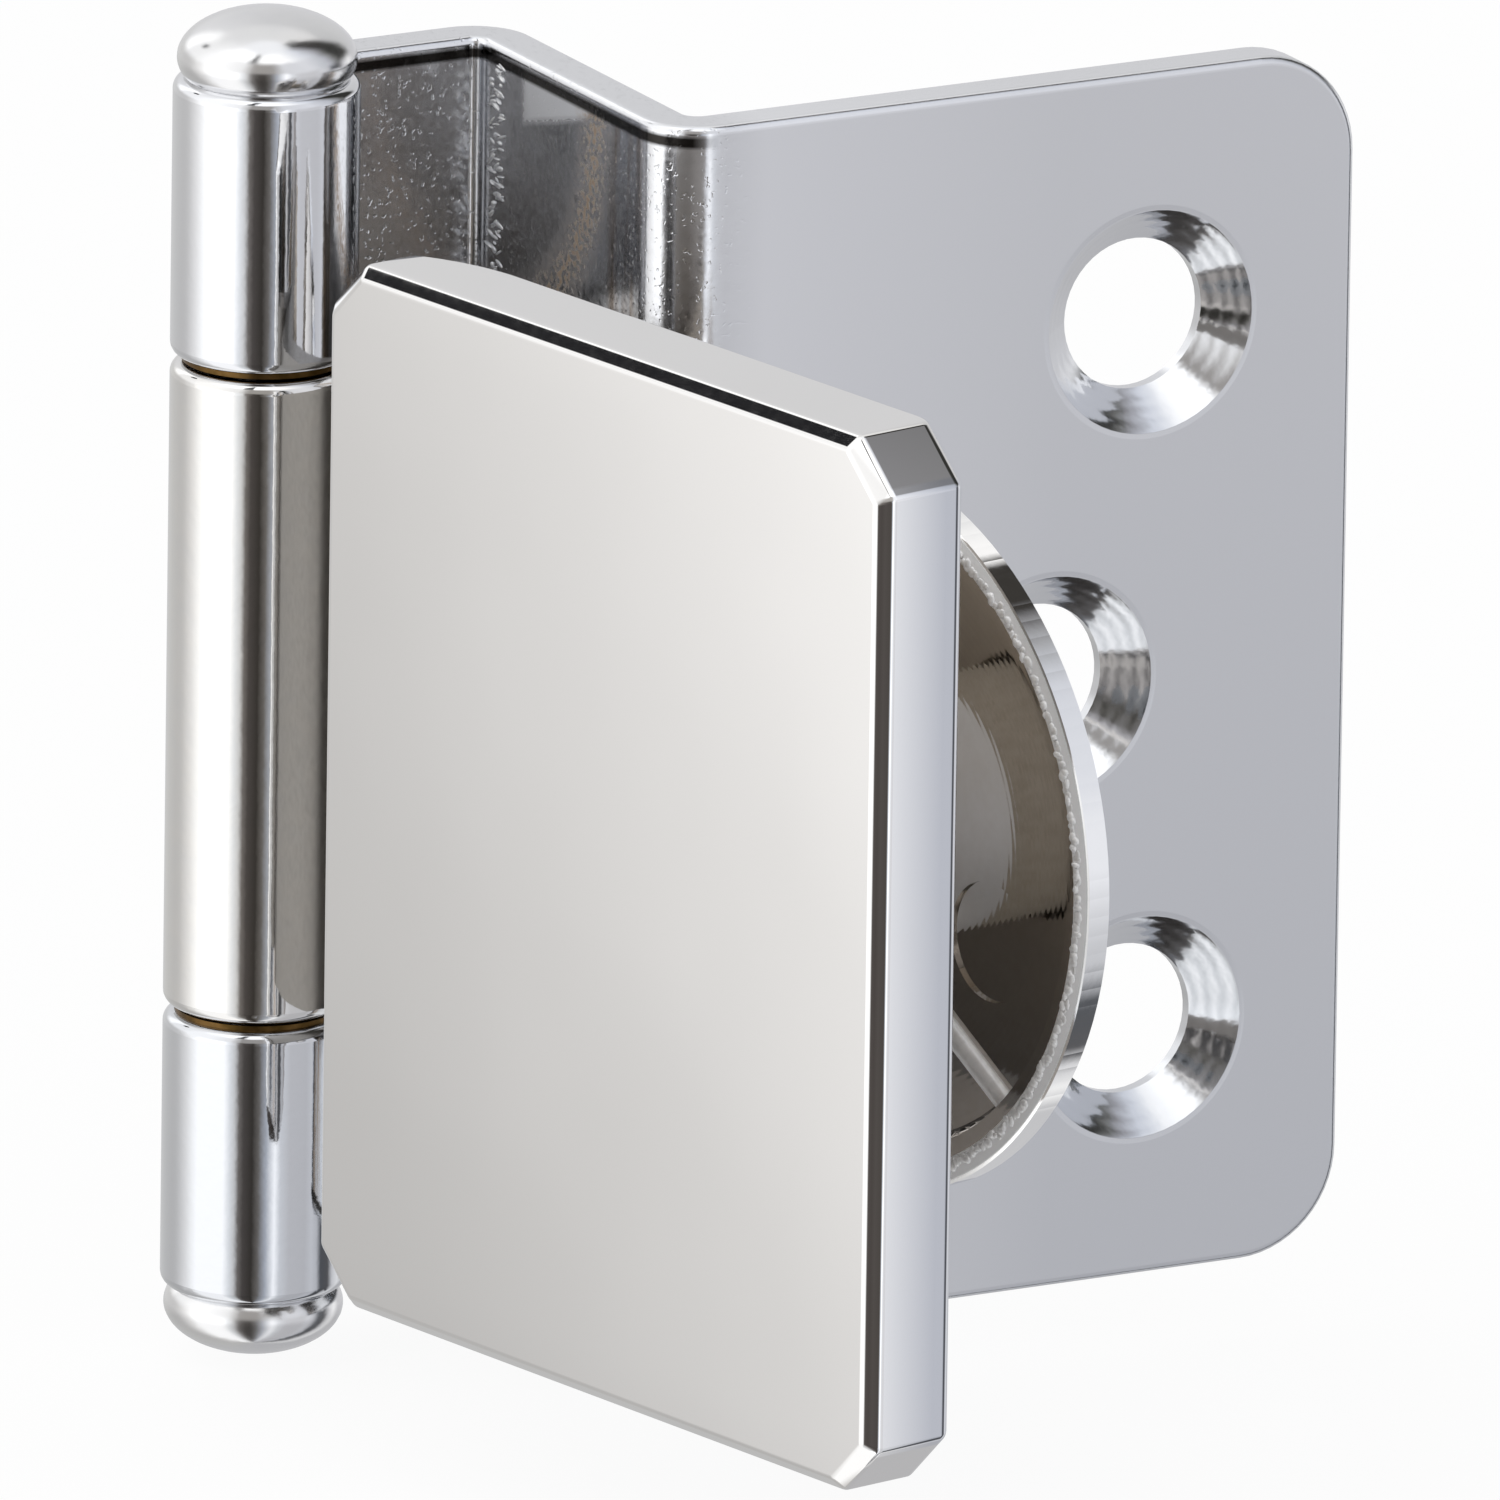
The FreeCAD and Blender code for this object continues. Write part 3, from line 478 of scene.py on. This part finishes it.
# %% Cover chrome
cover_chrome, tree, place = start_finish("polished_cover_chrome")
door_place = add_node(tree, "ShaderNodeMapping", {
    "Vector": place, "Location": CLAMP_AXIS, "Rotation": (0, 0, DOOR_ANGLE)},
    vector_type="TEXTURE")
position = add_node(tree, "ShaderNodeSeparateXYZ", {"Vector": door_place}).outputs
behind = within(tree, 1.0, [(position["X"], -2.64, -2.58)])
in_front = within(tree, 1.0, [(position["X"], -6.71, -6.74)])
sideways = add_node(tree, "ShaderNodeMath", {0: position["Y"]}, operation="ABSOLUTE")
on_side = within(tree, 1.0, [(sideways, 17.2, 17.3)])
wipe = add_node(tree, "ShaderNodeTexNoise", {
    "Vector": place, "Scale": 1 / (0.35 * MM), "Detail": 3.0})
swell = add_node(tree, "ShaderNodeTexNoise", {
    "Vector": place, "Scale": 1 / (9.0 * MM), "Detail": 1.0})

face_tone = add_node(tree, "ShaderNodeMix", {
    0: swell, 6: linear("E1E0DF"), 7: linear("E7E6E5")}, data_type="RGBA")
# Painted highlight: the side is coloured white towards the front.
towards_back = within(tree, 1.0, [(position["X"], -6.2, -3.6)])
side_painted_highlight = add_node(tree, "ShaderNodeMix", {
    0: towards_back, 6: linear("FFFFFF"), 7: linear("D4D6DC")}, data_type="RGBA")
tone = add_node(tree, "ShaderNodeMix", {0: on_side, 6: face_tone, 7: side_painted_highlight},
                data_type="RGBA")
tone = add_node(tree, "ShaderNodeMix", {0: behind, 6: tone, 7: linear("BEB8B1")},
                data_type="RGBA")
polish = add_node(tree, "ShaderNodeMapRange", {
    "Value": wipe, "From Min": NOISE_LOW, "From Max": NOISE_HIGH,
    "To Min": 0.045, "To Max": 0.075})
rough = add_node(tree, "ShaderNodeMix", {0: behind, 2: polish, 3: 0.4})

CROWN = -2000  # mm of fall for each square metre round the middle
from_middle = distance_from_line(tree, place, CLAMP_AXIS, DOOR_BACK)
relief = pile_up(tree, [(from_middle, from_middle, CROWN), (1.0, swell, 0.012)], in_front)
end_finish(tree, {"Base Color": tone, "Metallic": 1.0, "Roughness": rough,
                  "Normal": relief})

# %% [markdown]
# ## Riveted pin
# The pin is cut from drawn rod. Its heads are formed by a spinning tool that rolls the end
# over while it turns, and then plated, so they are a soft mirror with a faint swell. A
# coarse noise makes both the swell and the small differences in shine, because on the real
# head they have the same cause.

# %% Pin chrome
pin_chrome, tree, place = start_finish("spun_pin_chrome")
orange_peel = add_node(tree, "ShaderNodeTexNoise", {
    "Vector": place, "Scale": 1 / (1.2 * MM), "Detail": 2.0})
rough = add_node(tree, "ShaderNodeMapRange", {
    "Value": orange_peel, "From Min": NOISE_LOW, "From Max": NOISE_HIGH,
    "To Min": 0.13, "To Max": 0.2})
tone = add_node(tree, "ShaderNodeMix", {
    0: orange_peel, 6: linear("DCDCDE"), 7: linear("E4E4E4")}, data_type="RGBA")
relief = pile_up(tree, [(1.0, orange_peel, 0.004)])
end_finish(tree, {"Base Color": tone, "Metallic": 1.0, "Roughness": rough,
                  "Normal": relief})

# %% [markdown]
# ## Clamping dish
# The dish is cast and its hollow is faced on a lathe, so the floor is a mirror with fine
# rings about the clamp's axis. It shows the boss a second time, as a longer cylinder. The
# boss itself is only wire-brushed, and its pale bluish colour with little metal is a painted
# reflection. The rim falls away a little outwards, and its white colour with little metal
# is a painted highlight. The masks read the distance from the axis and the depth along it,
# as a drawing of a turned part would.

# %% Dish chrome
LATHE_PITCH = 0.3 * MM
RIM_FALL = -800  # mm of fall for each metre outwards
dish_chrome, tree, place = start_finish("faced_dish_chrome")
from_axis = distance_from_line(tree, place, CLAMP_AXIS, DOOR_BACK)
offset = add_node(tree, "ShaderNodeVectorMath", {
    0: place, 1: CLAMP_AXIS + DOOR_BACK * RIM_DEPTH}, operation="SUBTRACT")
depth = add_node(tree, "ShaderNodeVectorMath", {0: offset, 1: DOOR_BACK},
                 operation="DOT_PRODUCT")
facing = (depth, 1.3, 1.05)
on_boss = within(tree, 1.0, [(from_axis, 5.2, 5.1), facing])
on_rim = within(tree, 1.0, [(from_axis, 13.7, 13.85), facing])
painted_white_rim = within(tree, on_rim, [(from_axis, 14.7, 14.6)])
past_ledge = within(tree, MM, [(from_axis, 13.85, 14.85)])
wear = add_node(tree, "ShaderNodeTexNoise", {
    "Vector": place, "Scale": 1 / (0.5 * MM), "Detail": 4.0})
phase = add_node(tree, "ShaderNodeMath", {0: from_axis, 1: 2 * math.pi / LATHE_PITCH},
                 operation="MULTIPLY")
rings = add_node(tree, "ShaderNodeMath", {0: phase}, operation="SINE")

hollow = add_node(tree, "ShaderNodeMix", {
    0: wear, 6: linear("CFC9C2"), 7: linear("DAD6D1")}, data_type="RGBA")
# Painted highlight: the rim is coloured white, with little metal.
tone = add_node(tree, "ShaderNodeMix", {0: on_rim, 6: hollow, 7: linear("FAFAFA")},
                data_type="RGBA")
# Painted reflection: the boss is coloured pale bluish, with little metal; its roughness is
# the brushing.
tone = add_node(tree, "ShaderNodeMix", {0: on_boss, 6: tone, 7: linear("EEF0F4")},
                data_type="RGBA")
faced = add_node(tree, "ShaderNodeMapRange", {
    "Value": wear, "From Min": NOISE_LOW, "From Max": NOISE_HIGH,
    "To Min": 0.03, "To Max": 0.09})
rough = add_node(tree, "ShaderNodeMix", {0: painted_white_rim, 2: faced, 3: 0.6})
rough = add_node(tree, "ShaderNodeMix", {0: on_boss, 2: rough, 3: 0.32})
metal = add_node(tree, "ShaderNodeMapRange", {
    "Value": painted_white_rim, "To Min": 1.0, "To Max": 0.1})
metal = add_node(tree, "ShaderNodeMix", {0: on_boss, 2: metal, 3: 0.35})
relief = pile_up(tree, [
    (1.0, rings, 0.0006), (1.0, wear, 0.0015), (1.0, past_ledge, RIM_FALL)])
end_finish(tree, {"Base Color": tone, "Metallic": metal, "Roughness": rough,
                  "Normal": relief})

# %% [markdown]
# ## Small parts
# The shims are punched from brass strip, the screw is a plain zinc-plated one and the bush
# is moulded nylon. Each has two tones broken up by its grain. The brass is coloured dark as
# painted shade in the gaps between the knuckles. So have the dish's raised parts, whose
# white colour with little metal is a painted highlight, and the ridges beside the leaf's
# bend, whose pale colour with half metal is partly a painted highlight. They are small in
# the picture, so one recipe serves them all.

# %% Small finishes


def plain_finish(name, dark, pale, metallic, rough, grain_size):
    """A small part's finish: two tones broken up by its grain."""
    material, tree, place = start_finish(name)
    grain = add_node(tree, "ShaderNodeTexNoise", {
        "Vector": place, "Scale": 1 / grain_size, "Detail": 4.0})
    tint = add_node(tree, "ShaderNodeValToRGB", {"Fac": grain},
                    [(0.35, linear(dark)), (0.65, linear(pale))])
    relief = pile_up(tree, [(1.0, grain, 0.003)])
    end_finish(tree, {"Base Color": tint, "Metallic": metallic, "Roughness": rough,
                      "Normal": relief})
    return material


# Painted shade: the shims' brass is coloured dark.
brass_painted_shade = plain_finish("rolled_brass_painted_shade", "54401F", "6E5430", 1.0, 0.35, 0.6 * MM)
screw_zinc = plain_finish("plated_screw_steel", "B4B6B8", "D0D2D2", 1.0, 0.28, 0.5 * MM)
bush_nylon = plain_finish("moulded_bush_nylon", "A49C90", "B2AA9E", 0.0, 0.35, 0.4 * MM)
# Painted highlight: the flash beads and rib crests are coloured white, with little metal.
painted_highlight_chrome = plain_finish("painted_highlight_cast_chrome", "F2F2F2", "FFFFFF", 0.3, 0.35, 0.4 * MM)
# Partly painted highlight: the ridges are pale and half metal, beside their real glints.
stretched_painted_glint_chrome = plain_finish("stretched_painted_glint_chrome", "D6D8DC", "F4F4F4", 0.5, 0.25, 0.2 * MM)

# %% [markdown]
# The pad is clear soft vinyl, die cut from sheet. Its colour is painted shade low down,
# where the strap's lower part is shaded, and painted light at the top, from above.

# %% Pad vinyl
pad_vinyl, tree, place = start_finish("die_cut_pad_vinyl")
upwards = add_node(tree, "ShaderNodeSeparateXYZ", {"Vector": place}).outputs["Z"]
# Painted shade and light: dark at the bottom, pale at the top.
painted_light_from_above = within(tree, 1.0, [(upwards, -12, 12)])
tone = add_node(tree, "ShaderNodeMix", {0: painted_light_from_above, 6: linear("5E5953"), 7: linear("F0E4D4")},
                data_type="RGBA")
grain = add_node(tree, "ShaderNodeTexNoise", {
    "Vector": place, "Scale": 1 / (0.3 * MM), "Detail": 4.0})
relief = pile_up(tree, [(1.0, grain, 0.003)])
end_finish(tree, {"Base Color": tone, "Roughness": 0.6, "Normal": relief})

# %% [markdown]
# ## Finishes on the nodes
# Each solid is one real piece made in one material, so it gets one finish for all of its
# faces, and places on it differ only by masks. The shims share theirs, as they are cut
# from one strip. Nothing is moved: only the material on each node's mesh changes.

# %% Give each node its finish
FINISHES = {
    "cabinet_leaf": leaf_chrome, "door_leaf": strap_chrome, "hinge_pin": pin_chrome,
    "shim_washer_upper": brass_painted_shade, "shim_washer_lower": brass_painted_shade,
    "cover_plate": cover_chrome, "clamp_dish": dish_chrome, "clamp_screw": screw_zinc,
    "glass_bush": bush_nylon, "glass_pad": pad_vinyl,
}
for node_name, finish in FINISHES.items():
    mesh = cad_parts[node_name].data
    mesh.materials.clear()
    mesh.materials.append(finish)
print("finished", len(FINISHES), "nodes")

# %% [markdown]
# ## Eased edges of the cover plate
# Polishing rounds every edge of the plate by about two tenths of a millimetre. That is too
# small for the solid, but it is what draws a bright line along each edge. The node's own
# mesh is copied, its loose triangles are merged and its flats joined, and the edges that
# turn sharply are bevelled. Its triangles are sorted by place, so that each run writes the
# same mesh. The piece then stands for the node, in the same place.

# %% Cover plate with eased edges
EASE = 0.19 * MM
MERGE = 0.002 * MM
FLAT_TURN = math.radians(0.2)
SHARP_TURN = math.radians(22)
SORT_ALONG = Vector((1, 1.7, 2.9))  # slanted, so that no two triangles tie
work = bmesh.new()
work.from_mesh(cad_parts["cover_plate"].data)
bmesh.ops.remove_doubles(work, verts=work.verts, dist=MERGE)
bmesh.ops.dissolve_limit(work, angle_limit=FLAT_TURN, verts=work.verts, edges=work.edges)
turned_edges = [edge for edge in work.edges
                if len(edge.link_faces) == 2 and edge.calc_face_angle() > SHARP_TURN]
bmesh.ops.bevel(work, geom=turned_edges, offset=EASE, segments=3, profile=0.5,
                affect="EDGES", clamp_overlap=True)
bmesh.ops.triangulate(work, faces=work.faces)
work.faces.sort(key=lambda face: face.calc_center_median().dot(SORT_ALONG))
for face in work.faces:
    face.smooth = True
eased_mesh = bpy.data.meshes.new("cover_plate_eased")
work.to_mesh(eased_mesh)
work.free()
eased_mesh.materials.append(cover_chrome)
eased_cover = bpy.data.objects.new("cover_plate_eased", eased_mesh)
scene.collection.objects.link(eased_cover)
shading = eased_cover.modifiers.new("flat faces stay flat", "WEIGHTED_NORMAL")
shading.mode = "FACE_AREA"
shading.weight = 100
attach(eased_cover, "door_side")
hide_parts("cover_plate")
print("eased", len(turned_edges), "edges of the cover plate")

# %% [markdown]
# ## Growing what repeats
# Three small details repeat: beads of flash round the dish, crests on its two ribs, and
# stretch marks up the leaf's bend. Each is a Geometry Nodes tree with its sizes as named
# inputs, because a tree can be grown again at another size. Three helpers start a tree,
# end it in real geometry, and keep what it grows as a plain mesh on its body.

# %% Frame of the clamp and tree helpers
clamp_place = (Matrix.Translation(CLAMP_AXIS + DOOR_BACK * RIM_DEPTH)
               @ Matrix.Rotation(DOOR_ANGLE, 4, "Z")
               @ Matrix.Rotation(math.radians(90), 4, "Y"))


def new_tree(name, sizes):
    """A geometry tree with its named inputs, and the outputs of its input node."""
    tree = bpy.data.node_groups.new(name, "GeometryNodeTree")
    tree.interface.new_socket("Geometry", in_out="INPUT", socket_type="NodeSocketGeometry")
    for label, kind in sizes.items():
        tree.interface.new_socket(label, in_out="INPUT", socket_type="NodeSocket" + kind)
    tree.interface.new_socket("Geometry", in_out="OUTPUT", socket_type="NodeSocketGeometry")
    return tree, add_node(tree, "NodeGroupInput").outputs


def end_tree(tree, geometry, material):
    """Ends a tree in real geometry with its material."""
    real = add_node(tree, "GeometryNodeRealizeInstances", {"Geometry": geometry})
    painted = add_node(tree, "GeometryNodeSetMaterial", {
        "Geometry": real, "Material": material})
    add_node(tree, "NodeGroupOutput", {0: painted})


def grow(name, tree, values, place, body):
    """Runs a tree on an empty mesh and keeps the result as a plain piece on its body."""
    source = bpy.data.objects.new(name + "_seed", bpy.data.meshes.new(name + "_seed"))
    scene.collection.objects.link(source)
    modifier = source.modifiers.new("grow", "NODES")
    modifier.node_group = tree
    for item in tree.interface.items_tree:
        if item.in_out == "INPUT" and item.name in values:
            modifier[item.identifier] = values[item.name]
    depsgraph = bpy.context.evaluated_depsgraph_get()
    mesh = bpy.data.meshes.new_from_object(source.evaluated_get(depsgraph))
    mesh.name = name
    bpy.data.objects.remove(source)
    mesh.transform(place)
    mesh.polygons.foreach_set("use_smooth", [True] * len(mesh.polygons))
    piece = bpy.data.objects.new(name, mesh)
    scene.collection.objects.link(piece)
    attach(piece, body)
    print(name, "faces", len(mesh.polygons))


print("clamp frame at", [round(value / MM, 2) for value in clamp_place.translation], "mm")

# %% [markdown]
# ## Flash along the dish's rim
# Where the casting's hollow was faced, a fine scalloped line of flash stays on the inner
# border of the rim. It repeats around a circle, so one small flat bead stands on every
# point of a circle, strewn a little, and sized by a fixed seed.

# %% Beads of flash
tree, given = new_tree("rim_flash", {
    "Radius": "Float", "Bead": "Float", "Count": "Int", "Smallest": "Vector",
    "Largest": "Vector", "Stray Low": "Vector", "Stray High": "Vector"})
circle = add_node(tree, "GeometryNodeMeshCircle", {
    "Vertices": given["Count"], "Radius": given["Radius"]})
bead = add_node(tree, "GeometryNodeMeshUVSphere", {
    "Radius": given["Bead"], "Segments": 8, "Rings": 5})
size = add_node(tree, "FunctionNodeRandomValue", {
    "Min": given["Smallest"], "Max": given["Largest"], "Seed": 4}, data_type="FLOAT_VECTOR")
stray = add_node(tree, "FunctionNodeRandomValue", {
    "Min": given["Stray Low"], "Max": given["Stray High"], "Seed": 11},
    data_type="FLOAT_VECTOR")
strewn = add_node(tree, "GeometryNodeSetPosition", {"Geometry": circle, "Offset": stray})
beads = add_node(tree, "GeometryNodeInstanceOnPoints", {
    "Points": strewn, "Instance": bead, "Scale": size})
end_tree(tree, beads, painted_highlight_chrome)
grow("rim_flash", tree, {
    "Radius": 14.05 * MM, "Bead": 0.2 * MM, "Count": 430,
    "Smallest": Vector((0.6, 0.6, 0.2)), "Largest": Vector((1.3, 1.3, 0.8)),
    "Stray Low": Vector((-0.12, -0.12, 0)) * MM, "Stray High": Vector((0.12, 0.12, 0)) * MM,
}, clamp_place, "door_side")

# %% [markdown]
# ## Crests of the dish's ribs
# Two low ribs stiffen the floor. In the casting their tops are rounded, and a rounded top
# catches light that the flat floor does not. One half-round bar is drawn along a line and
# turned about the axis for the second rib.

# %% Rib crests
RIB_ANGLE = math.radians(31.5 - 90)
tree, given = new_tree("rib_crests", {
    "Start": "Vector", "End": "Vector", "Radius": "Float", "Ribs": "Int"})
line = add_node(tree, "GeometryNodeCurvePrimitiveLine", {
    "Start": given["Start"], "End": given["End"]})
section = add_node(tree, "GeometryNodeCurvePrimitiveCircle", {
    "Radius": given["Radius"], "Resolution": 24})
bar = add_node(tree, "GeometryNodeCurveToMesh", {0: line, 1: section, "Fill Caps": True})
posts = add_node(tree, "GeometryNodeMeshLine", {"Count": given["Ribs"], "Offset": (0, 0, 0)})
which = add_node(tree, "GeometryNodeInputIndex")
half_turn = add_node(tree, "ShaderNodeMath", {0: which, 1: math.pi}, operation="MULTIPLY")
turn = add_node(tree, "ShaderNodeCombineXYZ", {"Z": half_turn})
pair = add_node(tree, "GeometryNodeInstanceOnPoints", {
    "Points": posts, "Instance": bar, "Rotation": turn})
end_tree(tree, pair, painted_highlight_chrome)
grow("rib_crests", tree, {
    "Start": Vector((4.2, 3.6, 1.0)) * MM, "End": Vector((12.6, 3.6, 1.0)) * MM,
    "Radius": 0.5 * MM, "Ribs": 2,
}, clamp_place @ Matrix.Rotation(RIB_ANGLE, 4, "Z"), "door_side")

# %% [markdown]
# ## Stretch marks beside the web's bend
# Bending 2 mm sheet this tightly stretches its skin, which wrinkles in short ridges across
# the bend. They repeat up the crease with small differences, so points on a line are strewn
# a little and carry one ridge each, with fixed seeds for place, length and tilt. Real
# geometry was chosen over relief, because only raised crests break a mirror into sparks.

# %% Crease ridges
tree, given = new_tree("crease_ridges", {
    "Start": "Vector", "Step": "Vector", "Count": "Int", "Ridge": "Float",
    "Smallest": "Vector", "Largest": "Vector", "Stray Low": "Vector",
    "Stray High": "Vector", "Tilt Low": "Vector", "Tilt High": "Vector"})
row = add_node(tree, "GeometryNodeMeshLine", {
    "Count": given["Count"], "Start Location": given["Start"], "Offset": given["Step"]})
stray = add_node(tree, "FunctionNodeRandomValue", {
    "Min": given["Stray Low"], "Max": given["Stray High"], "Seed": 13},
    data_type="FLOAT_VECTOR")
strewn = add_node(tree, "GeometryNodeSetPosition", {"Geometry": row, "Offset": stray})
ridge = add_node(tree, "GeometryNodeMeshIcoSphere", {
    "Radius": given["Ridge"], "Subdivisions": 2})
size = add_node(tree, "FunctionNodeRandomValue", {
    "Min": given["Smallest"], "Max": given["Largest"], "Seed": 7}, data_type="FLOAT_VECTOR")
tilt = add_node(tree, "FunctionNodeRandomValue", {
    "Min": given["Tilt Low"], "Max": given["Tilt High"], "Seed": 9},
    data_type="FLOAT_VECTOR")
ridges = add_node(tree, "GeometryNodeInstanceOnPoints", {
    "Points": strewn, "Instance": ridge, "Scale": size, "Rotation": tilt})
end_tree(tree, ridges, stretched_painted_glint_chrome)
for name, start in (("crease_ridges_upper", 9.0), ("crease_ridges_lower", -24.0)):
    grow(name, tree, {
        "Start": Vector((-21.8, 12.7, start)) * MM, "Step": Vector((0, 0, 0.12)) * MM,
        "Count": 128, "Ridge": 0.5 * MM, "Smallest": Vector((0.06, 0.2, 0.08)),
        "Largest": Vector((0.24, 0.9, 0.24)), "Stray Low": Vector((0, -0.5, -0.2)) * MM,
        "Stray High": Vector((0, 0.5, 0.2)) * MM,
        "Tilt Low": Vector((-0.8, 0, 0)), "Tilt High": Vector((0.5, 0, 0)),
    }, Matrix.Identity(4), "cabinet_side")

# %% [markdown]
# ## Finish
# The dressed hinge must keep the size of its solids, so the solids' box is printed.

# %% Sizes and the end
print("CAD box", [[round(value / MM, 1) for value in corner] for corner in cad_box], "mm")
